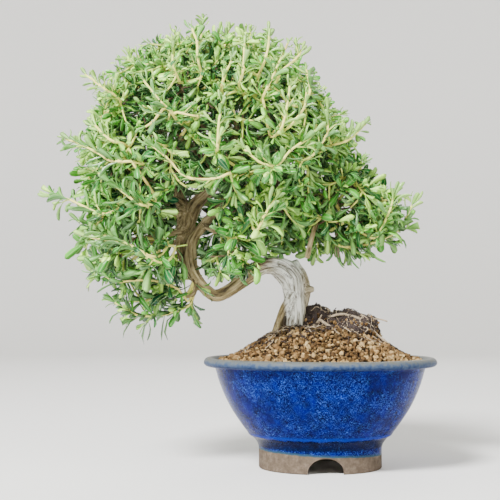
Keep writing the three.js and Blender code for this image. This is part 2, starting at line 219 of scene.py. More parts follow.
def hexColour(code):
    # sRGB hex to the linear values that a node takes
    parts = [int(code[i:i + 2], 16) / 255 for i in (1, 3, 5)]
    return [c / 12.92 if c <= 0.04045 else ((c + 0.055) / 1.055) ** 2.4 for c in parts] + [1]


def setInputs(node, inputs):
    # inputs by name or in order: a socket is linked, a node by the first output that it
    # shows, and a hex text is a colour
    for key, value in inputs.items() if isinstance(inputs, dict) else enumerate(inputs):
        if isinstance(value, bpy.types.Node):
            value = next(output for output in value.outputs if output.enabled)
        if isinstance(value, bpy.types.NodeSocket):
            node.id_data.links.new(value, node.inputs[key])
        else:
            node.inputs[key].default_value = hexColour(value) if isinstance(value, str) else value


def addNode(tree, kind, inputs=(), stops=(), **settings):
    node = tree.nodes.new("ShaderNode" + kind)
    for key, value in settings.items():
        setattr(node, key, value)
    setInputs(node, inputs)
    for i, (place, code) in enumerate(stops):
        elements = node.color_ramp.elements
        element = elements[i] if i < len(elements) else elements.new(1)
        element.position = place
        element.color = hexColour(code)
    return node


def newMaterial(name):
    # a material, what adds a node to it, its shader, and the piece's own place in
    # millimetres from the bowl's axis
    material = bpy.data.materials.new(name)
    material.use_nodes = True
    add = partial(addNode, material.node_tree)
    mm = add("Mapping", {
        "Vector": add("TexCoord").outputs["Object"],
        "Location": [-1000 * c for c in potAxis], "Scale": [1000, 1000, 1000]})
    return material, add, material.node_tree.nodes["Principled BSDF"], mm


def glazedStoneware():
    # cobalt glaze fired over buff stoneware: a glassy blue, broken up by fine pale crystals,
    # worn thin and grey on the lip, pooled dark above the foot, and wiped off the foot
    material, add, shader, mm = newMaterial("glazed stoneware")
    axes = add("SeparateXYZ", [mm])
    flat = add("VectorMath", [mm, (1, 1, 0)], operation="MULTIPLY")
    radius = add("VectorMath", [flat], operation="LENGTH")
    height = axes.outputs["Z"]
    # crystals about 1 mm wide in wandering threads, in looser and denser patches
    threads = add("TexNoise", {"Vector": mm, "Scale": 0.44, "Detail": 0.6, "Distortion": 2.0})
    threadMask = add("ValToRGB", [threads], [
        (0.466, "#000000"), (0.486, "#ffffff"), (0.5, "#ffffff"), (0.52, "#000000")])
    patches = add("TexNoise", {"Vector": mm, "Scale": 0.05, "Detail": 3.0, "Roughness": 0.55})
    patchMask = add("ValToRGB", [patches], [(0.3, "#484848"), (0.66, "#ffffff")])
    crystal = add("Math", [threadMask, patchMask], operation="MULTIPLY")
    depth = add("TexNoise", {"Vector": mm, "Scale": 0.16, "Detail": 4.0})
    cobalt = add("ValToRGB", [depth], [(0.3, "#020326"), (0.5, "#020445"), (0.72, "#020964")])
    # the glaze pools into a navy band under the ridge, 16 to 24 mm up, and just above the ridge a
    # brighter blue line is a painted highlight
    wobble = add("Math", [depth, 3.0, height], operation="MULTIPLY_ADD")
    navy, ridgeHighlight = [
        add("Math", [add("MapRange", [wobble, *rise]), add("MapRange", [wobble, *fall, 0, 0.8])],
            operation="MULTIPLY")
        for rise, fall in (((17.2, 18.6), (25.6, 24.8)), ((25.4, 26.2), (28.4, 27.0)))]
    # the lip: glaze drawn thin over the clay, pale grey on top and slate blue beneath, the paler
    # top a painted highlight and the darker underside painted shade
    lipNoise = add("TexNoise", {"Vector": mm, "Scale": 0.3, "Detail": 6.0, "Roughness": 0.7})
    # painted light: the lip's colour runs from dark beneath to pale on top with height
    lipPaintedLight = add("MapRange", [height, 74.5, 81.5, 0, 0.5])
    lipShare = add("Math", [lipNoise, 0.8, lipPaintedLight], operation="MULTIPLY_ADD")
    lipColour = add("ValToRGB", [lipShare], [
        (0.42, "#081a44"), (0.62, "#35455f"), (0.78, "#575d60"), (0.95, "#5c5a4e")])
    lipHeight = add("Math", [lipNoise, 2.0, height], operation="MULTIPLY_ADD")
    lip = add("MapRange", [lipHeight, 75.4, 76.6])
    # bare clay below a line that dips to the right, with a thin pale edge of glaze above it
    tilt = add("Math", [axes.outputs["X"], 0.042, height], operation="MULTIPLY_ADD")
    edge = add("Math", [depth, 1.6, tilt], operation="MULTIPLY_ADD")
    thinGlaze = add("MapRange", [edge, 15.4, 13.6])
    low = add("MapRange", [edge, 13.3, 13.0])
    inFoot = add("MapRange", [radius, 42.5, 42.0])
    below = add("MapRange", [height, 23.0, 22.0])
    hollow = add("Math", [inFoot, below], operation="MULTIPLY")
    bare = add("Math", [low, hollow], operation="MAXIMUM")
    clayNoise = add("TexNoise", {"Vector": mm, "Scale": 0.25, "Detail": 6.0, "Roughness": 0.7})
    clay = add("ValToRGB", [clayNoise], [(0.3, "#4b4138"), (0.5, "#5e5246"), (0.72, "#766a5d")])
    colour = cobalt
    # the bright blue over the ridge is a painted highlight
    for mask, coat in ((crystal, "#3a6de0"), (navy, "#030a20"), (ridgeHighlight, "#03268c"),
                       (lip, lipColour), (thinGlaze, "#2a4450"), (bare, clay)):
        colour = add("Mix", {0: mask, 6: colour, 7: coat}, data_type="RGBA")
    # glossy between the crystals, duller on the lip and matt on the clay
    glazeRough = add("MapRange", {0: crystal, 3: 0.2, 4: 0.38})
    gloss = add("Math", [lip, 0.16, glazeRough], operation="MULTIPLY_ADD")
    rough = add("Mix", {0: bare, 2: gloss, 3: 0.85})
    # the crystals stand out a little, and so does the clay's tooth
    tooth = add("Math", [clayNoise, bare], operation="MULTIPLY")
    relief = add("Math", [crystal, 0.25, tooth], operation="MULTIPLY_ADD")
    bump = add("Bump", {"Strength": 0.35, "Distance": 0.0004, "Height": relief})
    setInputs(shader, {"Base Color": colour, "Roughness": rough, "Normal": bump, "IOR": 1.4,
                       "Specular IOR Level": 0.06})
    return material


def mouldedPlastic():
    # black polyethylene drain net, moulded: dark, slightly soft shine
    material, add, shader, mm = newMaterial("moulded polyethylene")
    dust = add("TexNoise", {"Vector": mm, "Scale": 0.4, "Detail": 5.0})
    colour = add("ValToRGB", [dust], [(0.35, "#1c1f1d"), (0.75, "#4a453b")])
    setInputs(shader, {"Base Color": colour, "Roughness": 0.55})
    return material


def clayGrit():
    # crumbled fired clay, as akadama: ochre and buff, each grain its own tone, dusty and dry, and
    # darkened deep between the grains as painted shade
    material, add, shader, mm = newMaterial("fired clay grit")
    tone = add("Attribute", attribute_name="grainToneAndShade").outputs["Vector"]
    parts = add("SeparateXYZ", [tone])
    fine = add("TexNoise", {"Vector": mm, "Scale": 1.1, "Detail": 5.0, "Roughness": 0.7})
    mixed = add("Math", [fine, 0.45, parts.outputs["X"]], operation="MULTIPLY_ADD")
    ochre = add("ValToRGB", [mixed], [
        (0.2, "#281a0c"), (0.45, "#63492a"), (0.75, "#8f7046"), (1.0, "#b89d6f")])
    # grains and mass marked dark take this dark brown: painted shade between the grains, and stain
    # where roots are worked in
    colour = add("Mix", {0: parts.outputs["Y"], 6: ochre, 7: "#1c1108"}, data_type="RGBA")
    bump = add("Bump", {"Strength": 0.6, "Distance": 0.0003, "Height": fine})
    setInputs(shader, {"Base Color": colour, "Roughness": 0.95, "Normal": bump,
                       "Specular IOR Level": 0.25})
    return material


def rootFibre(name, stops):
    # dead and living fine roots: matt, stringy, blackish brown or straw-coloured
    material, add, shader, mm = newMaterial(name)
    fibres = add("TexNoise", {"Vector": mm, "Scale": 0.8, "Detail": 6.0, "Roughness": 0.75,
                              "Distortion": 0.8})
    colour = add("ValToRGB", [fibres], stops)
    bump = add("Bump", {"Strength": 0.5, "Distance": 0.0004, "Height": fibres})
    setInputs(shader, {"Base Color": colour, "Roughness": 0.85, "Normal": bump})
    return material


def furrowedBark():
    # weathered coprosma bark: silver-grey ridges over brown furrows that run with the wood,
    # whitest where it stands in the grit
    material, add, shader, mm = newMaterial("furrowed bark")
    x, y, z = add("SeparateXYZ", [mm]).outputs
    along = add("Attribute", attribute_name="barkPlace").outputs["Vector"]
    relief = add("Attribute", attribute_name="barkReliefAndShade").outputs["Fac"]
    stretched = add("Mapping", {"Vector": along, "Scale": (0.5, 0.5, 0.06)})
    streaks = add("TexNoise", {"Vector": stretched, "Scale": 1.0, "Detail": 6.0, "Roughness": 0.65})
    blotches = add("TexNoise", {"Vector": mm, "Scale": 0.14, "Detail": 4.0})
    silver = add("ValToRGB", [streaks], [(0.34, "#544c3f"), (0.44, "#a5a294"), (0.55, "#eff0e9")])
    brown = add("ValToRGB", [streaks], [(0.33, "#3c3019"), (0.47, "#83734c"), (0.63, "#bcab80")])
    # it is brown left of the dip, up in the crown, on the stubs in front, on the leg on the
    # left, and on the old stem and the knot on the right
    beside = add("Math", [blotches, -30.0, x], operation="MULTIPLY_ADD")
    legSide = add("MapRange", [x, -24.5, -27.5])
    brownMask = 0
    for value, none, full, most in (
            (beside, -41.0, -62.0, 1), (z, 155.0, 164.0, 1), (y, -15.0, -19.0, 1),
            (z, 127.0, 120.0, legSide), (x, -15.5, -10.0, 0.8)):
        mask = add("MapRange", [value, none, full, 0, most])
        brownMask = add("Math", [brownMask, mask], operation="MAXIMUM")
    # the furrow colour also paints shade into the hollow of the web
    furrowAndShade = add("MapRange", [relief, 0.42, 0.1, 0, 0.8])
    colour = silver
    for mask, coat in ((brownMask, brown), (furrowAndShade, "#3a2d22")):
        colour = add("Mix", {0: mask, 6: colour, 7: coat}, data_type="RGBA")
    bump = add("Bump", {"Strength": 0.7, "Distance": 0.0006, "Height": streaks})
    setInputs(shader, {"Base Color": colour, "Roughness": 0.85, "Normal": bump})
    return material


def youngBark():
    # young stems: smooth, green at the tips, then cream to straw, and brown deep in the crown,
    # partly as older bark and partly as painted shade
    material, add, shader, mm = newMaterial("young stem bark")
    ageAndShade = add("Attribute", attribute_name="barkAgeAndShade").outputs["Fac"]
    blotches = add("TexNoise", {"Vector": mm, "Scale": 0.06, "Detail": 5.0})
    mixed = add("Math", [blotches, 0.8, ageAndShade], operation="MULTIPLY_ADD")
    colour = add("ValToRGB", [mixed], [
        (0.3, "#86b545"), (0.5, "#cdd766"), (0.68, "#f0e87a"), (0.86, "#cfb468"), (1.0, "#66543a")])
    setInputs(shader, {"Base Color": colour, "Roughness": 0.55})
    return material


def leafBlade():
    # small leathery leaf: mid green with a paler margin and midrib, grey-green beneath,
    # some leaves yellower and some bluer, each with a soft shine
    material, add, shader, mm = newMaterial("coprosma leaf")
    place = add("Attribute", attribute_name="leafPlace").outputs["Vector"]
    across = add("SeparateXYZ", [place]).outputs["X"]
    tone = add("Attribute", attribute_name="leafTone").outputs["Vector"]
    light, yellower, bluish = add("SeparateXYZ", [tone]).outputs
    mottle = add("TexNoise", {"Vector": mm, "Scale": 0.35, "Detail": 4.0})
    # the light is painted: leaves deep in the crown are darker as painted shade
    varied = add("Math", [yellower, 0.34, light], operation="MULTIPLY_ADD")
    mixed = add("Math", [mottle, 0.2, varied], operation="MULTIPLY_ADD")
    green = add("ValToRGB", [mixed], [
        (0.2, "#04200e"), (0.48, "#1f6827"), (0.75, "#5eb436"), (0.98, "#c4f56a")])
    bluer = add("MapRange", [bluish, 0.5, 1.0, 0, 0.6])
    out = add("Math", [across], operation="ABSOLUTE")
    margin = add("MapRange", [out, 0.72, 1.0, 0, 0.55])
    midrib = add("MapRange", [out, 0.16, 0.04, 0, 0.26])
    pale = add("Math", [margin, midrib], operation="MAXIMUM")
    beneath = add("Attribute", attribute_name="leafUnder").outputs["Fac"]
    under = add("Math", [beneath, 0.5], operation="MULTIPLY")
    colour = green
    for mask, coat in ((bluer, "#226248"), (pale, "#c4e094"), (under, "#7a9e64")):
        colour = add("Mix", {0: mask, 6: colour, 7: coat}, data_type="RGBA")
    setInputs(shader, {"Base Color": colour, "Roughness": 0.25, "Specular IOR Level": 0.3})
    return material


bowlSettings = {
    "columns": 180,
    # half section of the bowl, as radii and heights, right round it
    "foot": [(45.0, 0.0), (45.6, 0.8), (45.6, 12.4)],
    "wall": [(45.6, 13.4), (45.8, 15.6), (46.6, 18.2), (48.4, 21.0), (50.6, 23.2), (52.4, 24.2),
             (53.3, 25.1), (54.2, 26.6), (56.5, 29.6), (60.4, 35), (65.6, 42.8), (69.5, 50),
             (72.9, 57.6), (75.6, 65), (77.3, 71), (77.9, 73.2)],
    "lip": [(78.6, 74.4), (80.4, 74.9), (82.8, 74.8), (85.0, 75.3), (86.4, 76.7), (86.6, 78.4),
            (85.8, 80.1), (84.0, 81.2), (81.8, 81.2), (79.8, 80.2), (78.4, 78.4)],
    "inside": [(76.6, 75.6), (74, 71.4), (64.6, 50.5), (50.6, 31), (42.6, 24), (38, 22.5)],
    "under": [(8, 22.5), (8, 14.2), (37.8, 14.2), (39.2, 13.2), (39.7, 1.0), (40.4, 0.0)],
    "wobble": 0.35,           # how far the hand-thrown wall wanders
    "ringDepth": 0.07,
    "archWidth": 25.8,
    "archHeight": 11.3,
    "archSpring": 1.5,        # how far up its curve starts
    "archAngles": (-88, 32, 152),
    # radii along an arch and its size there: it opens out where it leaves the foot ring
    "archStations": [(32, 1.1), (39, 1.1), (39.9, 1.03), (41, 1.0), (44.4, 1.0), (45.2, 1.03),
                     (45.8, 1.1), (48, 1.1)],
}


def archCutter(settings):
    # low arches as radial bars, opened out at both ends so that their rims come out rounded
    half, top, spring = settings["archWidth"] / 2, settings["archHeight"], settings["archSpring"]
    stations = settings["archStations"]
    start, startSize = stations[0]
    whole = bmesh.new()
    for angle in settings["archAngles"]:
        bm = bmesh.new()
        verts = bmesh.ops.create_circle(bm, segments=64, radius=1)["verts"]
        for vert in verts:
            rise = spring + (top - spring) * vert.co.y if vert.co.y > 0 else 3 * vert.co.y
            vert.co = Vector((half * vert.co.x, start, rise))
        bmesh.ops.scale(bm, vec=(startSize, 1, startSize), verts=verts)
        edges = bm.edges[:]
        for (fromRadius, fromSize), (toRadius, toSize) in zip(stations, stations[1:]):
            made = bmesh.ops.extrude_edge_only(bm, edges=edges)["geom"]
            verts = [part for part in made if isinstance(part, bmesh.types.BMVert)]
            edges = [part for part in made if isinstance(part, bmesh.types.BMEdge)]
            bmesh.ops.translate(bm, vec=(0, toRadius - fromRadius, 0), verts=verts)
            bmesh.ops.scale(bm, vec=(toSize / fromSize, 1, toSize / fromSize), verts=verts)
        bmesh.ops.holes_fill(bm, edges=bm.edges, sides=0)
        bmesh.ops.rotate(bm, matrix=Matrix.Rotation(radians(angle - 90), 3, "Z"), verts=bm.verts)
        bmesh.ops.recalc_face_normals(bm, faces=bm.faces)
        addMesh(whole, toMesh(bm, "arch"))
    return toObject(whole, "arches")


def makeBowl(settings):
    bm = bmesh.new()
    profile = list(settings["foot"])
    for part, count in (("wall", 44), ("lip", 26), ("inside", 14)):
        stops = [Vector(stop) for stop in settings[part]]
        profile += [splinePoint(stops, i / count) for i in range(count + 1)]
    spinProfile(bm, profile + settings["under"], settings["columns"], 0.001, closed=True)
    for vert in bm.verts:
        # thrown by hand: faint rings 5 mm apart, and a rim that isn't quite round or level
        flat = Vector((vert.co.x, vert.co.y, 0))
        share = smoothStep(vert.co.z, 22, 80) * smoothStep(flat.length, 47, 60)
        drift = noise.noise(Vector((vert.co.x, vert.co.y, vert.co.z * 0.5)) * 0.022)
        rings = settings["ringDepth"] * sin(vert.co.z * 1.25 + 2 * noise.noise(vert.co * 0.02))
        vert.co += flat.normalized() * share * (settings["wobble"] * drift + rings)
        vert.co.z += share * settings["wobble"] * noise.noise(flat * 0.015 + up * 7)
    bowl = toObject(bm, "bowl")
    cutter = archCutter(settings)
    cut = bowl.modifiers.new("arches", "BOOLEAN")
    cut.operation = "DIFFERENCE"
    cut.solver = "EXACT"
    cut.object = cutter
    applyModifiers(bowl)
    bpy.data.objects.remove(cutter)
    bm = bmesh.new()
    bm.from_mesh(bowl.data)
    roundFaces(bm, 32)
    bm.to_mesh(bowl.data)
    bm.free()
    return bowl


bowl = makeBowl(bowlSettings)
finishPiece(bowl, "bowl_glaze", [glazedStoneware()], "pot")
print("bowl done")

# the net over the drain hole keeps its solid
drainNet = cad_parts["drain_net"]
drainNet.data.materials.clear()
drainNet.data.materials.append(mouldedPlastic())


woodSettings = {
    "voxel": 0.92,
    "grooveDepth": 0.13,      # as a share of the wood's radius there
    "grooveMost": 0.95,
    "trunkShare": 0.93,       # of its radius, under its ribs
    "ribs": 4,                # strands that show as long ribs on the trunk
    "ribShare": 0.5,          # a rib's radius and
    "ribOut": 0.58,           # how far out it lies, as shares of the wood's radius
    "ribTwist": 0.0045,       # turns per millimetre
    # routes of x, y, z and radius
    "trunk": [
        (-20, 3, 80, 12), (-19, 1, 95, 9.4), (-17.5, 0, 109, 8), (-18, -1, 121, 8.1),
        (-19, -2, 131, 8.2), (-21, -2, 140, 8.8), (-28, -3, 147, 8.6), (-36, -4, 150, 7.4),
        (-45, -6, 148, 6), (-53, -8, 142, 5.4), (-61, -10, 136, 4.9), (-69, -12, 130, 4.7),
        (-78, -14, 127, 4.5), (-85, -15, 132, 4.4), (-91, -15, 139, 4.4), (-95, -15, 148, 4.4),
        (-96, -15, 158, 4.2), (-95, -15, 167, 4), (-91, -15, 174, 3.8), (-86, -14, 180, 3.6),
        (-80, -12, 187, 3.4), (-74, -10, 194, 3.2), (-67, -8, 202, 3), (-58, -5, 207, 2.8)],
    "secondStem": [
        (-93, -12, 139, 2.6), (-100, -9, 146, 2.4), (-103, -6, 155, 2.8), (-104, -4, 164, 3.6),
        (-103, -3, 170, 4.6), (-101, -2, 178, 6.2), (-99, 0, 188, 7.4)],
    "forkLeft": [(-100, 0, 184, 5.6), (-104, 4, 197, 4.6), (-107, 8, 208, 4), (-112, 10, 219, 3)],
    "forkRight": [
        (-98, 0, 185, 5.6), (-93, 0, 196, 5.2), (-86, -2, 203, 4.6), (-78, -4, 210, 4.2),
        (-71, -6, 218, 3.8), (-64, -6, 225, 3.2)],
    "rootLeg": [
        (-21, -3, 128, 3.3), (-27.5, -4, 117, 2.7), (-31, -4, 108, 2.6), (-34, -4, 97, 3.1),
        (-36, -4, 86, 3.8)],
    "cutStem": [
        (-19, 5, 154, 3), (-17, 6, 149, 3.5), (-13, 6, 142, 4.2), (-11, 5, 132, 4.6),
        (-14, 3, 119, 4.8)],
    "knot": [(-14, 2, 131, 3.4), (-8, 1, 132, 2.8), (-4, 1, 132, 2.2)],
    "web": [(-22, 5, 121, 3), (-26, 5, 108, 3), (-30, 5, 96, 3.2), (-32, 5, 84, 4)],
    "stubs": [
        [(0, -17, 201, 1.6), (-3, -24, 186, 1.9), (-11, -30, 154, 2.1)],
        [(14, -7, 198, 1.4), (13, -12, 178, 1.6), (12, -14, 155, 1.9)]],
    "limbs": [
        [(-66, -5, 222, 3.2), (-70, -16, 246, 2.6), (-77, -30, 268, 2.1), (-79, -36, 281, 1.8)],
        [(-66, -5, 222, 3), (-66, 14, 246, 2.5), (-70, 34, 270, 2), (-71, 43, 284, 1.7)],
        [(-110, 9, 214, 3), (-118, 4, 240, 2.4), (-128, -10, 264, 1.9)],
        [(-103, 3, 196, 2.8), (-122, -18, 208, 2.4), (-153, -46, 226, 1.7)],
        [(-108, 8, 211, 2.8), (-128, 26, 228, 2.3), (-151, 46, 238, 1.8)],
        [(-67, -5, 222, 3), (-48, -10, 240, 2.4), (-26, -22, 262, 1.8)],
        [(-67, -5, 221, 2.8), (-46, 18, 234, 2.3), (-22, 50, 253, 1.7)],
        [(-62, -6, 205, 2.6), (-48, -28, 212, 2.2), (-33, -54, 220, 1.7)],
        [(-101, 0, 188, 2.6), (-126, -9, 191, 2.2), (-157, -16, 189, 1.7)],
        [(-92, -15, 141, 2), (-94, -18, 128, 1.9), (-101, -19, 127, 1.8), (-108, -19, 131, 1.6)],
        [(-103, -4, 167, 2.4), (-119, 14, 168, 2), (-136, 40, 168, 1.6)],
        [(-102, -3, 175, 2.4), (-120, -20, 171, 2), (-142, -42, 166, 1.6)],
        [(-60, -6, 206, 2.8), (-32, -6, 206, 2.4), (-6, -8, 201, 2.2), (16, -6, 197, 2),
         (40, 0, 192, 1.6)],
        [(-10, -8, 202, 2), (10, -26, 200, 1.6)],
        [(-8, -8, 201, 2), (10, 28, 197, 1.6)],
        [(-87, -14, 179, 2.2), (-74, -28, 172, 1.9), (-62, -44, 166, 1.6)],
        [(-67, -8, 202, 2.6), (-64, 24, 200, 2.2), (-64, 60, 196, 1.7)],
        [(-74, -5, 215, 2.6), (-86, -38, 226, 2.2), (-102, -64, 238, 1.7)],
        [(-67, -5, 221, 2.6), (-62, -38, 238, 2.2), (-62, -68, 252, 1.7)],
        [(-107, 8, 209, 2.6), (-112, 40, 232, 2.2), (-114, 70, 252, 1.7)]],
}


def framesAlong(route, step):
    # stops along a route with two directions across it that turn as little as they can
    across = Vector((0, 1, 0))
    frames, travelled, last = [], 0.0, None
    for place, along, radius in stopsAlong(route, step):
        travelled += (place - last).length if last else 0
        last = place
        if not frames and abs(along.y) > 0.8:
            across = Vector((1, 0, 0))
        across = (across - along * across.dot(along)).normalized()
        frames.append((place, along, across, across.cross(along), radius, travelled))
    return frames


def ribLines(route, settings):
    # strands that wind slowly along the trunk and stand out of it as ribs
    lines = []
    for rib in range(settings["ribs"]):
        line = []
        for place, _, across, beside, radius, travelled in framesAlong(route, 2.0):
            turn = 2 * pi * (rib / settings["ribs"] + travelled * settings["ribTwist"])
            turn += 0.5 * noise.noise(Vector((travelled * 0.03, rib * 5.0, 0)))
            side = across * cos(turn) + beside * sin(turn)
            line.append((place + side * radius * settings["ribOut"], radius * settings["ribShare"]))
        lines.append(line)
    return lines


def makeWood(settings):
    names = ("trunk", "secondStem", "forkLeft", "forkRight", "rootLeg", "cutStem", "knot", "web")
    routes = [settings[name] for name in names] + settings["stubs"] + settings["limbs"]
    lines = [smoothLine(route, 1.5) for route in routes]
    lines[0] = [(place, radius * settings["trunkShare"]) for place, radius in lines[0]]
    for name in ("trunk", "secondStem", "forkRight"):
        lines += ribLines(settings[name], settings)
    bm = bmesh.new()
    addMesh(bm, roundTubes(lines, 14))
    bmesh.ops.remove_doubles(bm, verts=bm.verts, dist=0.002)
    wood = toObject(bm, "wood")
    grown = wood.modifiers.new("grown together", "REMESH")
    grown.mode = "VOXEL"
    grown.voxel_size = settings["voxel"]
    applyModifiers(wood)

    stops = [stop + (number,) for number, route in enumerate(routes)
             for stop in framesAlong(route, 1.0)]
    tree = KDTree(len(stops))
    for i, stop in enumerate(stops):
        tree.insert(stop[0], i)
    tree.balance()
    bm = bmesh.new()
    bm.from_mesh(wood.data)
    for _ in range(2):
        bmesh.ops.smooth_vert(bm, verts=bm.verts, factor=0.5, use_axis_x=True, use_axis_y=True,
                              use_axis_z=True)
    bm.normal_update()
    placeLayer = bm.verts.layers.float_vector.new("barkPlace")
    reliefAndShadeLayer = bm.verts.layers.float.new("barkReliefAndShade")
    for vert in bm.verts:
        near = min(tree.find_n(vert.co, 3), key=lambda found: found[2] - stops[found[1]][4])[1]
        place, along, across, beside, radius, travelled, number = stops[near]
        offset = vert.co - place
        bark = Vector((offset.dot(across), offset.dot(beside),
                       travelled + offset.dot(along) + 100 * number))
        # furrows a few millimetres apart that run along the wood and break up now and then
        coarse = noise.noise(Vector((bark.x * 0.42, bark.y * 0.42, bark.z * 0.045)))
        fine = noise.noise(Vector((bark.x * 1.1, bark.y * 1.1, bark.z * 0.14 + 30)))
        knobs = noise.noise(bark * 0.16 + Vector((9, 4, 2)))
        relief = 0.62 * (1 - abs(coarse) * 2.6) + 0.3 * (1 - abs(fine) * 2.2) + 0.25 * knobs
        depth = min(settings["grooveMost"], settings["grooveDepth"] * radius)
        vert.co += vert.normal * depth * (0.35 - relief)
        vert[placeLayer] = bark
        # the web, in the hollow between the trunk and its leg, is darkened as painted shade
        vert[reliefAndShadeLayer] = 1 - relief - (0.7 if number == names.index("web") else 0)
    smoothFaces(bm.faces)
    bm.to_mesh(wood.data)
    bm.free()
    return wood


wood = makeWood(woodSettings)
finishPiece(wood, "bark", [furrowedBark()], "trunk")
print("wood done")


rootSettings = {
    # centre and reach of the two humps beside the trunk and of what lies round its foot
    "lumps": [((-2, 3, 104), (13, 15, 16.5)), ((20, 1, 98), (24, 24, 18)),
              ((-22.5, -4, 97.5), (10, 11, 7))],
    "fibres": 900,
    "fibreRadius": (0.2, 0.6),
    "paleShare": 0.36,
    "scattered": 300,         # loose fibres on the grit round the trunk
    "scatteredPale": 0.25,
    "seed": 23,
    # roots that lie over the mat, as routes of x, y, z and radius
    "strands": [
        [(2, -9, 108, 1.1), (12, -12, 113, 1.1), (29, -13, 110, 1), (41, -11, 99, 0.9),
         (51, -10, 91, 0.8)],
        [(-1, -10, 110, 1.2), (8, -20, 103, 1.1), (20, -25, 94, 1), (30, -29, 88, 0.8)],
        [(3, 10, 112, 1.2), (16, 20, 107, 1.1), (30, 25, 93, 0.9), (38, 30, 86, 0.8)],
        [(28, 4, 112, 1), (38, 8, 105, 1), (45, 12, 95, 0.9), (52, 15, 89, 0.8)],
        [(34, -4, 109, 0.9), (43, -2, 110, 0.7), (50, -4, 108, 0.6)]],
}


def matSurface(centre, size, direction):
    # a point on a lump's rough surface in that direction
    point = Vector([c * s for c, s in zip(direction, size)])
    rough = 3.4 * noise.noise(point * 0.13 + Vector(centre)) + 2.2 * noise.noise(point * 0.35)
    return Vector(centre) + point + direction * rough


soilSettings = {
    # half section of the mass under the grains: over the net and up the bowl's wall
    "mass": [(0, 24.2), (19.5, 24.2), (20.5, 22.9), (38, 22.9), (42.2, 24.4), (50.2, 31.4),
             (64.1, 50.8), (73.5, 71.6), (76.4, 77)],
    "massTop": (74, 66, 58, 50, 42, 34, 26, 18, 9, 0),
    "massUnder": 1.3,         # how far its top lies under the mound's
    "footRadius": 77.9,
    "footHeight": 79,
    "top": 103,
    "flatRadius": 20,
    # count, lift, darkness and first turn of the grains on top and of those under them; the
    # darkness of those under is painted shade
    "layers": [(2150, 0.0, 0.08, 0), (1150, -1.5, 0.85, 1.3)],
    "grainsWithin": 75.8,
    "matGrains": 200,
    "shapes": 14,
    "small": 1.0,             # a grain's half width in millimetres
    "large": 2.6,
    "seed": 11,
    # no grain lies in the trunk, its leg or the root mat: centre, share of x and reach
    "standing": [(-20, 1, 1, 8.5), (-35, -4, 1, 3), (-3, 3, 1, 10), (20, 1, 1, 17),
                 (-22, -4, 0.7, 7.5)],
}


def moundHeight(radius, settings):
    rise = 1 - smoothStep(radius, settings["flatRadius"], settings["footRadius"])
    return between(settings["footHeight"], settings["top"], rise)


def grainShapes(count):
    # crumbs with a few flat sides: the hull of points thrown on a ball
    draw = drawsFrom(5)
    shapes = []
    for number in range(count):
        bm = bmesh.new()
        squash = Vector((1, 0.75 + 0.25 * draw(), 0.65 + 0.3 * draw()))
        bmesh.ops.create_icosphere(bm, subdivisions=1, radius=1)
        bmesh.ops.subdivide_edges(bm, edges=list(bm.edges)[::8], cuts=1)
        for vert in bm.verts:
            size = 0.74 + 0.46 * draw()
            vert.co = Vector([c * s * size for c, s in zip(vert.co.normalized(), squash)])
        hull = bmesh.ops.convex_hull(bm, input=bm.verts)
        loose = [g for g in hull["geom_interior"] + hull["geom_unused"]
                 if isinstance(g, bmesh.types.BMVert)]
        bmesh.ops.delete(bm, geom=list(dict.fromkeys(loose)), context="VERTS")
        bmesh.ops.triangulate(bm, faces=bm.faces)
        roundFaces(bm, 50)
        bm.verts.layers.float_vector.new("grainToneAndShade")
        shapes.append(toMesh(bm, f"grain {number}"))
    return shapes


def placeGrain(bm, shape, place, size, turns, tone):
    grain = shape.copy()
    turned = Matrix.Rotation(turns[0], 4, "X") @ Matrix.Rotation(turns[1], 4, "Y")
    turned = turned @ Matrix.Rotation(turns[2], 4, "Z")
    grain.transform(Matrix.Translation(place) @ turned @ Matrix.Scale(size, 4))
    grain.attributes["grainToneAndShade"].data.foreach_set("vector", tone * len(grain.vertices))
    addMesh(bm, grain)


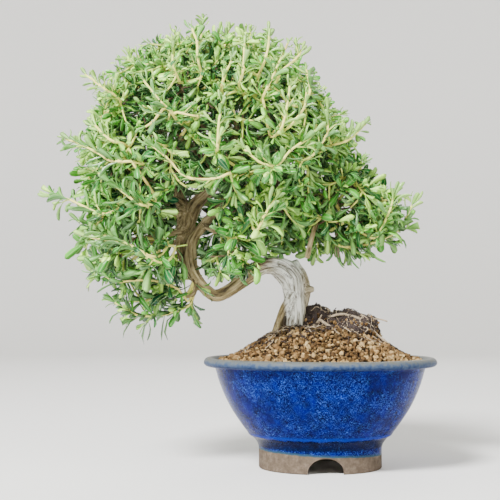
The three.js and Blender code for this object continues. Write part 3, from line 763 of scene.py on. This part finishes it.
def makeSoil(settings):
    draw = drawsFrom(settings["seed"])
    bm = bmesh.new()
    top = [(r, moundHeight(r, settings) - settings["massUnder"]) for r in settings["massTop"]]
    spinProfile(bm, settings["mass"] + top, 96, 0.001)
    toneAndShadeLayer = bm.verts.layers.float_vector.new("grainToneAndShade")
    for vert in bm.verts:
        # the mass under the grains is dark: painted shade in the gaps
        vert[toneAndShadeLayer] = (0.3, 0.9, 0)
    smoothFaces(bm.faces)

    shapes = grainShapes(settings["shapes"])
    for count, sink, dark, phase in settings["layers"]:
        for i in range(count):
            radius = settings["grainsWithin"] * sqrt((i + 0.5) / count)
            turn = golden * i + phase
            x = radius * cos(turn) + 1.3 * (draw() - 0.5)
            y = radius * sin(turn) + 1.3 * (draw() - 0.5)
            size = between(settings["small"], settings["large"], draw() ** 1.6)
            lift = 1.7 * (draw() - 0.5) + sink
            turns = [2 * pi * draw() for _ in range(3)]
            # painted shade: the grains under the top layer come out dark
            darkening = dark * (0.4 + 0.6 * draw())
            # darker where the roots have been worked into it
            rooty = 1 - smoothStep(hypot((x + 2) * 0.72, y + 3), 16, 42)
            darkening = max(darkening, 0.85 * draw() if draw() < 0.75 * rooty else 0)
            tone = (0.1 + 0.7 * draw(), darkening, draw())
            if all(hypot((x - centreX) * share, y - centreY) >= reach
                   for centreX, centreY, share, reach in settings["standing"]):
                place = Vector((x, y, moundHeight(hypot(x, y), settings) + lift))
                placeGrain(bm, shapes[int(draw() * len(shapes))], place, size, turns, tone)
    # some lies on the lower part of the root mat
    for i in range(settings["matGrains"]):
        centre, reach = rootSettings["lumps"][0 if i % 4 == 0 else 1]
        rise = -0.1 + 0.75 * draw() ** 1.5
        direction = towards(golden * i, rise)
        place = matSurface(centre, reach, direction) + direction * 0.6
        size = settings["small"] + 0.9 * draw() ** 1.6
        tone = (0.1 + 0.6 * draw(), 0.7 * draw() ** 2, draw())
        if hypot(place.x + 20, place.y) > 11:
            turns = [6 * draw() for _ in range(3)]
            placeGrain(bm, shapes[i % len(shapes)], place, size, turns, tone)
    return toObject(bm, "grit")


soil = makeSoil(soilSettings)
finishPiece(soil, "grit", [clayGrit()], "soil")
print("soil done")


def makeRootMat(settings):
    draw = drawsFrom(settings["seed"])
    bm = bmesh.new()
    for centre, size in settings["lumps"]:
        for vert in bmesh.ops.create_icosphere(bm, subdivisions=4, radius=1)["verts"]:
            vert.co = matSurface(centre, size, vert.co.normalized())
    dark, pale = [], []
    for i in range(settings["fibres"]):
        pick = draw()
        centre, size = settings["lumps"][0 if pick < 0.3 else 1 if pick < 0.8 else 2]
        # a fibre sets out over the lump, mostly downhill, and wanders
        turn, rise = 2 * pi * draw(), 1 - 1.25 * draw()
        direction = towards(turn, rise)
        heading = Vector((draw() - 0.5, draw() - 0.5, -0.55 - 0.6 * draw())).normalized()
        steps = 5 + int(7 * draw())
        radius = between(*settings["fibreRadius"], draw() ** 2)
        line = []
        for step in range(steps):
            lift = 0.6 * radius + 2.4 * noise.noise(Vector((step * 0.6, i * 3.1, 0)))
            place = matSurface(centre, size, direction) + direction * lift
            line.append((place, radius * (1 - 0.5 * step / steps)))
            heading += Vector((draw() - 0.5, draw() - 0.5, draw() - 0.5)) * 0.9
            direction = (direction + heading.normalized() * 0.13).normalized()
        if line[0][0].z > 84:
            (pale if draw() < settings["paleShare"] else dark).append(line)
    for _ in range(settings["scattered"]):
        turn, radius = 2 * pi * draw(), 14 + 34 * draw() ** 1.4
        x, y = 1.3 * radius * cos(turn) - 2, 0.8 * radius * sin(turn) - 4
        heading, line = 2 * pi * draw(), []
        for step in range(5):
            ground = moundHeight(hypot(x, y), soilSettings) + 1.2
            line.append((Vector((x, y, ground + 1.3 * draw())), 0.42 - 0.05 * step))
            heading += 1.1 * (draw() - 0.5)
            x, y = x + 2.1 * cos(heading), y + 2.1 * sin(heading)
        (pale if draw() < settings["scatteredPale"] else dark).append(line)
    for route in settings["strands"]:
        pale.append([(place + 0.5 * noise.noise_vector(place * 0.2), radius)
                     for place, radius in smoothLine(route, 1.6)])
    addMesh(bm, roundTubes(dark, 4))
    before = len(bm.faces)
    addMesh(bm, roundTubes(pale, 6))
    bm.faces.ensure_lookup_table()
    for face in bm.faces[before:]:
        face.material_index = 1
    smoothFaces(bm.faces)
    bmesh.ops.remove_doubles(bm, verts=bm.verts, dist=0.002)
    return toObject(bm, "roots")


roots = makeRootMat(rootSettings)
darkRoot = rootFibre("dark root fibre", [
    (0.3, "#0c0808"), (0.47, "#261b18"), (0.6, "#43342d"), (0.78, "#86766a")])
paleRoot = rootFibre("pale root", [(0.3, "#5e4c3c"), (0.52, "#a6947a"), (0.75, "#ddd0b8")])
finishPiece(roots, "root_fibre", [darkRoot, paleRoot], "root_mat")
print("root mat done")


crownSettings = {
    # rounds of the crown: centre, reach and count of main shoots, and the lowest that are
    # kept; then the counts of finer shoots out at the surface and at two depths
    "rounds": [
        ((-79, 0, 238), (117, 94, 108), 36, -0.72, 490, 480, 110),
        ((-128, 0, 163), (56, 58, 52), 13, -1, 50, 16, 0),
        ((14, 0, 196), (54, 48, 37), 12, -1, 96, 40, 0),
        ((-64, -42, 164), (30, 28, 26), 6, -1, 22, 6, 0)],
    # the finer shoots: which count, how far out, seed, and the light on their leaves: painted shade
    # makes them darker further in, where they are also older
    "tiers": [(4, 0.46, 43, 0.2), (3, 0.72, 41, 0.25), (2, 0.9, 42, 1.0)],
    "heart": (-75, 0, 215),
    # no main shoot ends in front of the trunk here: left, right, low and high
    "window": (-118, -70, 150, 206),
    # no leaf hangs in front of the bare stems here
    "clearings": [(-108, -78, 160, 199), (-102, -88, 124, 162), (-74, -6, 114, 139),
                  (-48, -6, 136, 155), (-15, -2, 148, 176)],
    # the finer shoots keep under these planes: how much across and up, and how far out
    "trims": [(0, 1, 311), (0.707, 0.707, 191), (-1, 0, 173), (0.85, 0.5, 135),
              (-0.52, -0.85, -45), (-0.707, 0.707, 309), (-0.9, 0.436, 257), (0.5, -0.866, -132)],
    "front": -105,            # no leaf reaches further to the front or the left than this
    "left": -206,
    "tipInside": 0.87,        # how far out the main shoots end
    "firstStep": 0.2,         # from a limb's tip to its first shoot, in steps of
    "step": 0.13,             # this share of the limb
    "bow": 0.06,              # how far a stem sags, as a share of its length
    "mainRadius": 1.25,
    "longRadius": 0.95,
    "fineRadius": 0.92,
    "fineLength": 12,         # finer shoots come from wood about this far off
    "longUnder": 16,          # long shoots come up from this far under the leaves
    "longEvery": 4.4,         # between their pairs of leaves
    "leafEvery": 0.31,        # between other pairs, as a share of the leaf's length
    "leafLarge": 19,          # lower in the crown
    "leafSmall": 11.5,        # at its top
    # a leaf 15 mm long: its thickness, and its width at shares of its length
    "leafDrawn": 15,
    "leafThick": 0.4,
    "widths": [(0, 0.6), (0.18, 1.1), (0.42, 3.0), (0.68, 4.4), (0.9, 3.9), (1, 2.0)],
    "darkWidths": [(0, 0.7), (0.4, 2.9), (0.78, 4.4), (1, 2.1)],
    # arch, fold, twist and breadth: flat, arched, curled back and twisted leaves
    "leafForms": [(0.05, 0.5, 0.0, 1.0), (0.2, 0.35, 0.2, 1.05), (-0.16, 0.6, -0.2, 0.88),
                  (0.3, 0.45, -0.15, 1.0), (0.12, 0.25, 0.45, 1.12)],
    "darkBelow": 0.25,        # leaves of a darker tone take the plainer blades
    # tips in the trunk's loop, over its arch and behind it, and the light on their leaves
    "loopLight": 0.9,
    "loopTips": [
        (-85, -30, 164), (-77, -32, 153), (-73, -26, 144), (-66, -34, 156), (-60, -28, 148),
        (-80, -38, 173), (-53, -32, 155), (-68, -40, 166), (-74, -20, 160), (-38, -16, 167),
        (-29, -15, 165), (-20, -17, 167), (-12, -13, 166), (-24, 10, 168), (-98, 32, 192),
        (-84, 36, 198), (-108, 32, 180), (-72, 38, 188), (-90, 36, 176), (-62, 30, 172),
        (-78, 32, 164), (-94, 30, 160)],
    # long pale shoots that show at the front, along the crown's surface to their tips
    "longShoots": [
        [(-42, -80, 288), (-39, -70, 304), (-39, -60, 314)],
        [(-41, -88, 267), (-36, -83, 278), (-32, -77, 288), (-26, -65, 303)],
        [(-31, -80, 280), (-19, -68, 293), (-16, -60, 300)],
        [(-31, -90, 240), (-28, -88, 250), (-25, -82, 270)],
        [(-24, -86, 243), (-15, -80, 256), (-13, -74, 267)],
        [(-11, -76, 266), (-13, -68, 284)],
        [(-10, -76, 222), (0, -72, 236), (2, -69, 242), (2, -66, 256)],
        [(-34, -88, 214), (-24, -86, 226), (-10, -79, 236), (-6, -74, 245)],
        [(-36, -88, 214), (-45, -92, 216), (-56, -94, 225)],
        [(17, -52, 237), (23, -45, 242), (32, -30, 252)],
        [(-57, -88, 279), (-56, -76, 301)],
        [(-105, -86, 284), (-105, -75, 300)],
        [(-106, -94, 251), (-114, -91, 259), (-125, -82, 274)],
        [(-110, -93, 253), (-118, -92, 244), (-123, -90, 241)],
        [(-103, -93, 250), (-87, -96, 247)],
        [(-135, -84, 218), (-148, -78, 219), (-154, -75, 223), (-171, -60, 233), (-184, -44, 239)],
        [(-74, -96, 226), (-73, -97, 243), (-71, -93, 257)],
        [(-70, -91, 274), (-65, -84, 287)],
        [(-148, -80, 233), (-160, -68, 245)],
        [(-154, -70, 271), (-170, -46, 285)],
        [(-88, -86, 288), (-89, -77, 302), (-93, -66, 314)],
        [(-66, -92, 209), (-78, -92, 205), (-96, -92, 207), (-109, -92, 220), (-119, -90, 228)],
        [(-127, -76, 189), (-141, -74, 199), (-158, -67, 212)],
        [(-155, -56, 184), (-178, -42, 194), (-194, -34, 200)],
        [(17, -20, 163), (44, -14, 168), (60, -8, 178), (69, -5, 195)],
        [(38, -26, 169), (44, -34, 178), (50, -36, 192), (52, -34, 200)],
        [(-48, -70, 171), (-42, -77, 182), (-35, -78, 193)],
        [(-97, -20, 123), (-104, -26, 131), (-118, -34, 137), (-132, -38, 138), (-148, -38, 137),
         (-163, -36, 145)],
        [(-96, -18, 121), (-112, -20, 114), (-127, -22, 112), (-140, -22, 115), (-151, -24, 122)],
        [(-118, -56, 154), (-138, -57, 163), (-156, -50, 170)],
        [(-112, -54, 150), (-130, -58, 157), (-146, -55, 164), (-166, -43, 168)],
        [(-89, -36, 304), (-88, -33, 316), (-87, -30, 326)],
        [(-73, -42, 298), (-70, -37, 310), (-68, -33, 319)],
        [(-55, -42, 298), (-53, -37, 310), (-52, -33, 319)]],
}


def shootEnds(settings, tier, inside, seed=None):
    # an even spiral of tips over each round, less those that lie inside another round
    draw = drawsFrom(seed) if seed else lambda: 0.5
    ends = []
    left, right, low, high = settings["window"]
    for centre, reach, *rest in settings["rounds"]:
        lowest, count = rest[1], rest[tier]
        for i in range(count):
            rise = 1 - (2 * i + 1) / count
            scaled = Vector([o * r for o, r in zip(towards(golden * i, rise), reach)])
            surface = scaled + Vector(centre)
            hidden = False
            for other, otherReach, *_ in settings["rounds"]:
                if other != centre:
                    offset = [(s - c) / r for s, c, r in zip(surface, other, otherReach)]
                    hidden = hidden or Vector(offset).length < (0.8 if tier else 0.93)
            inWindow = surface.y < 0 and left < surface.x < right and low < surface.z < high
            share = inside * (0.9 + 0.14 * draw())
            if rise > lowest and not hidden and (tier or not inWindow):
                end = scaled * share + Vector(centre)
                for across, upward, limit in settings["trims"] if tier else []:
                    over = max(0, end.x * across + end.z * upward - limit - 8 * (draw() - 0.5))
                    end -= Vector((across, 0, upward)) * over
                ends.append(end)
    return ends


def planShoots(settings, limbs):
    # each shoot grows from the limb whose end is nearest, the straightest one from its tip
    plans = []
    for end in shootEnds(settings, 0, settings["tipInside"]):
        reach = [(Vector(route[-1][:3]) - end).length for route in limbs]
        plans.append({"end": end, "limb": reach.index(min(reach))})
    for index, route in enumerate(limbs):
        tip, along, _ = alongRoute(route, 1)
        own = [plan for plan in plans if plan["limb"] == index]
        own.sort(key=lambda plan: (plan["end"] - tip).angle(along))
        for order, plan in enumerate(own):
            share = 1 - settings["step"] * (order + settings["firstStep"])
            plan["root"] = alongRoute(route, share)[0]
    return plans


def leafShapes(settings, stations):
    # blunt narrow leaves, widest past the middle
    shapes = []
    last, drawn = len(stations) - 1, settings["leafDrawn"]
    for arch, fold, twist, broad in settings["leafForms"]:
        bm = bmesh.new()
        place = bm.verts.layers.float_vector.new("leafPlace")
        bm.verts.layers.float_vector.new("leafTone")
        under = bm.faces.layers.float.new("leafUnder")
        for side in (0, 1):
            before = set(bm.faces)
            made = bmesh.ops.create_grid(bm, x_segments=2, y_segments=last, size=1)["verts"]
            for vert in made:
                row = round((vert.co.y + 1) / 2 * last)
                across = round(vert.co.x)
                at, width = stations[row]
                half = across * width / 2 / drawn * broad
                tipBack = 0.035 * abs(across) if row == last else 0
                # arched along its length, its edges raised to each side of the midrib
                height = arch * sin(pi * at * 0.9) + fold * abs(half) * 0.4 + half * sin(twist * at)
                if side and not across and 0 < row < last:
                    height -= settings["leafThick"] / drawn
                vert.co = Vector((half * cos(twist * at), at - tipBack, height))
                vert[place] = (across, at, 0)
            for face in set(bm.faces) - before:
                face[under] = side
                face.smooth = True
                if side:
                    face.normal_flip()
        bmesh.ops.remove_doubles(bm, verts=bm.verts, dist=0.0001)
        shapes.append(toMesh(bm, "leaf"))
    return shapes


def leaving(along, turn, angle):
    # a direction that leaves a stem at an angle, on the side given by a turn round it
    across = (Vector((1, 0, 0)) if abs(along.z) > 0.9 else up).cross(along).normalized()
    outward = Matrix.Rotation(turn, 3, along) @ across
    return along * cos(angle) + outward * sin(angle)


def leafSize(height, settings):
    return between(settings["leafLarge"], settings["leafSmall"], smoothStep(height, 150, 290))


def inClearing(point):
    return point.y < -4 and any(left < point.x < right and low < point.z < high
                                for left, right, low, high in crownSettings["clearings"])


def putLeaf(spray, root, direction, along, length, tone, draw):
    side = direction.cross(along + up * 0.3)
    tip = root + direction * length
    outside = tip.y < crownSettings["front"] or tip.x < crownSettings["left"]
    if side.length < 0.05 or outside or inClearing(root + direction * length * 0.6):
        return
    side.normalize()
    turn = Matrix((side, direction, side.cross(direction))).transposed().to_4x4()
    blades = darkBlades if tone < crownSettings["darkBelow"] else leafBlades
    blade = blades[int(draw() * len(blades))].copy()
    blade.transform(Matrix.Translation(root) @ turn @ Matrix.Scale(length, 4))
    tones = (tone, draw(), draw()) * len(blade.vertices)
    blade.attributes["leafTone"].data.foreach_set("vector", tones)
    addMesh(spray["mesh"], blade)
    spray["leaves"] += 1


def dressStem(spray, route, leafLength, draw, level, firstLeaf=0.12, every=None, light=1.0):
    # opposite pairs of leaves, each pair turned from the last, and a tuft at the tip
    line = smoothLine(route, 3.5)
    if level == 0:
        # knuckles where leaves have been, each with a slight bend
        line = [(place + 0.4 * noise.noise_vector(place * 0.3), radius * (1.2 if i % 2 else 0.9))
                for i, (place, radius) in enumerate(line)]
    # stems with little light go with those deep in the crown, browned partly as painted shade
    spray["stems"][3 if light < 0.5 else level].append(line)
    every = every or crownSettings["leafEvery"] * leafLength
    pairs = max(1, round(routeLength(route) * (1 - firstLeaf) / every))
    phase = 2 * pi * draw()
    # painted light: leaves are lighter towards the top of the crown, as if lit from above
    tone = light * (0.1 + 0.5 * draw() + 0.2 * smoothStep(route[-1][2], 180, 320))
    for pair in range(pairs):
        share = firstLeaf + (1 - firstLeaf) * (pair + 0.5) / pairs
        place, along, radius = alongRoute(route, share)
        young = smoothStep(share, 0.6, 1.0)
        for side in (0, pi):
            if draw() < 0.06:
                continue
            angle = radians(64 - 30 * young) + 0.5 * (draw() - 0.5)
            turn = phase + pair * pi / 2 + side + 0.5 * (draw() - 0.5)
            size = leafLength * (1 - 0.25 * young) * (0.7 + 0.55 * draw())
            direction = leaving(along, turn, angle)
            putLeaf(spray, place, direction, along, size, tone + 0.25 * young * light, draw)
        if level < 2 and draw() < 0.28 and share < 0.85:
            # now and then a twig with small leaves
            turn = phase + pair * pi / 2 + (0 if draw() < 0.5 else pi)
            direction = (leaving(along, turn, radians(48)) + up * 0.2).normalized()
            end = place + direction * (5 + 5 * draw())
            twig = [(*place, radius * 0.7), (*end, radius * 0.55)]
            dressStem(spray, twig, leafLength * 0.8, draw, 2, 0.4, None, light)
    place, along, _ = alongRoute(route, 1)
    for i in range(3):
        angle = radians(14 + 18 * draw())
        size = leafLength * (0.5 + 0.3 * draw())
        direction = leaving(along, phase + i * 2.1, angle)
        putLeaf(spray, place, direction, along, size, tone + 0.32 * light, draw)


def stemRoute(root, end, radius, bow):
    # a stem sags a little and turns up towards its end
    middle = (root + end) / 2 - up * (end - root).length * bow
    return [(*root, radius), (*middle, radius * 0.85), (*end, radius * 0.6)]


def growCrown(settings, limbs):
    # the main shoots first, then finer ones, each from the nearest wood that is further in
    sprays, wood = [], []

    def ownerOf(end):
        return min(sprays, key=lambda spray: (spray["end"] - end).length)

    for number, plan in enumerate(planShoots(settings, limbs)):
        draw, end = drawsFrom(100 + number), plan["end"]
        spray = {"mesh": bmesh.new(), "stems": [[], [], [], []], "leaves": 0, "end": end}
        route = stemRoute(plan["root"], end, settings["mainRadius"], settings["bow"])
        dressStem(spray, route, leafSize(end.z, settings), draw, 0, 0.25)
        sprays.append(spray)
        wood += placesAlong(route, (0.1, 0.2, 0.3, 0.4, 0.5, 0.6, 0.7, 0.8))
    for route in limbs:
        wood += placesAlong(route, (0.55, 0.7, 0.85, 0.97))
    for number, places in enumerate(settings["longShoots"]):
        draw, radius = drawsFrom(300 + number), settings["longRadius"]
        first, last = Vector(places[0]), Vector(places[-1])
        # it comes up from wood well under the leaves
        inward = (Vector(settings["heart"]) - first).normalized()
        under = first + inward * settings["longUnder"]
        root = min(wood, key=lambda place: (place - under).length)
        route = [(*root, radius + 0.05)]
        if (root - under).length > 4:
            route.append((*under, radius))
        thinner = 0.35 / len(places)
        route += [(*place, radius - thinner * i) for i, place in enumerate(places)]
        leafLength = leafSize(last.z, settings)
        dressStem(ownerOf(last), route, leafLength, draw, 0, 0.15, settings["longEvery"])
        wood += placesAlong(route, (0.3, 0.5))
    tips = [(end, light) for tier, inside, seed, light in settings["tiers"]
            for end in shootEnds(settings, tier, inside, seed)]
    tips += [(Vector(place), settings["loopLight"]) for place in settings["loopTips"]]
    for number, (end, light) in enumerate(tips):
        draw = drawsFrom(500 + number)
        away = lambda place: abs((place - end).length - settings["fineLength"])
        root = sorted(wood, key=away)[int(draw() * 3)]
        if inClearing(end) or inClearing((root + end) / 2):
            continue
        route = stemRoute(root, end, settings["fineRadius"], 0.04 + 0.1 * draw())
        dressStem(ownerOf(end), route, leafSize(end.z, settings), draw, 1, light=light)
        wood += placesAlong(route, (0.4, 0.7))
    return sprays


def finishSpray(spray, name):
    bm = spray["mesh"]
    leafFaces = len(bm.faces)
    # how old the bark looks on main, finer and twig stems, and on those deep in the crown, whose
    # brown is partly painted shade
    for level, ageAndShade in enumerate((0.26, 0.12, 0.0, 0.8)):
        if spray["stems"][level]:
            rods = roundTubes(spray["stems"][level], 6 if level == 0 else 4)
            grown = rods.attributes.new("barkAgeAndShade", "FLOAT", "POINT")
            grown.data.foreach_set("value", [ageAndShade] * len(rods.vertices))
            addMesh(bm, rods)
    bm.faces.ensure_lookup_table()
    stemFaces = bm.faces[leafFaces:]
    smoothFaces(stemFaces)
    for face in stemFaces:
        face.material_index = 1
    stemVerts = list(dict.fromkeys(vert for face in stemFaces for vert in face.verts))
    bmesh.ops.remove_doubles(bm, verts=stemVerts, dist=0.002)
    return toObject(bm, name)


leafBlades = leafShapes(crownSettings, crownSettings["widths"])
darkBlades = leafShapes(crownSettings, crownSettings["darkWidths"])
leaf, stem = leafBlade(), youngBark()
sprayNodes = sorted(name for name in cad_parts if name.startswith("spray_"))
sprays = growCrown(crownSettings, woodSettings["limbs"])
leafCount = sum(spray["leaves"] for spray in sprays)
print(f"{len(sprays)} shoots for {len(sprayNodes)} solids, {leafCount} leaves")
for number, spray in enumerate(sprays):
    shoot = finishSpray(spray, f"leafy_shoot_{number + 1:02d}")
    finishPiece(shoot, "leaf", [leaf, stem], sprayNodes[number])
print("crown done")


stageSettings = {
    "cameraDistance": 0.9,
    "cameraAside": -0.0522,
    "cameraHeight": 0.1175,
    "cameraTilt": 2.8,
    "focalPixels": 1201,      # for a picture 500 pixels wide
    # half section of the cove, as radii and heights in metres
    "cove": [(0, 0), (2.2, 0), (2.35, 0.01), (2.5, 0.05), (2.64, 0.12), (2.76, 0.22),
             (2.86, 0.34), (2.94, 0.48), (2.98, 0.64), (3.0, 0.8), (3.0, 3.2)],
    "aim": (-0.05, 0, 0.17),  # what the lights point at, from the bowl's axis
    # name, place from there, size and watts
    "lights": [("key", (-0.9, -1.5, 1.5), 0.6, 165), ("fill", (1.5, -1.2, 0.8), 1.2, 8),
               ("back", (0.4, 1.6, 1.3), 1.0, 14)],
    "skyStrength": 0.4,
}


def makeStage(settings):
    # a white cove: the floor runs up into a round wall far behind the bowl
    bm = bmesh.new()
    spinProfile(bm, settings["cove"], 64, 0.0001)
    bmesh.ops.reverse_faces(bm, faces=bm.faces)
    smoothFaces(bm.faces)
    floor = toObject(bm, "floor")
    paper = bpy.data.materials.new("matt paper sweep")
    paper.use_nodes = True
    shader = paper.node_tree.nodes["Principled BSDF"]
    setInputs(shader, {"Base Color": "#eeedea", "Roughness": 0.9})
    floor.data.materials.append(paper)
    world = bpy.data.worlds.new("studio")
    world.use_nodes = True
    backdrop = world.node_tree.nodes["Background"]
    setInputs(backdrop, {"Color": "#f2f2f0", "Strength": settings["skyStrength"]})
    bpy.context.scene.world = world
    for name, place, size, power in settings["lights"]:
        light = bpy.data.lights.new(name, "AREA")
        light.size = size
        light.energy = power
        lamp = inScene(name, light)
        lamp.location = potAxis + Vector(settings["aim"]) + Vector(place)
        lamp.rotation_euler = (-Vector(place)).to_track_quat("-Z", "Y").to_euler()
    camera = bpy.data.cameras.new("camera")
    camera.lens = camera.sensor_width * settings["focalPixels"] / 500
    camera.clip_start = 0.01
    shot = inScene("camera", camera)
    shot.location = potAxis + Vector((settings["cameraAside"], -settings["cameraDistance"],
                                      settings["cameraHeight"]))
    shot.rotation_euler = (radians(90 + settings["cameraTilt"]), 0, 0)
    bpy.context.scene.camera = shot


makeStage(stageSettings)
print("stage done")
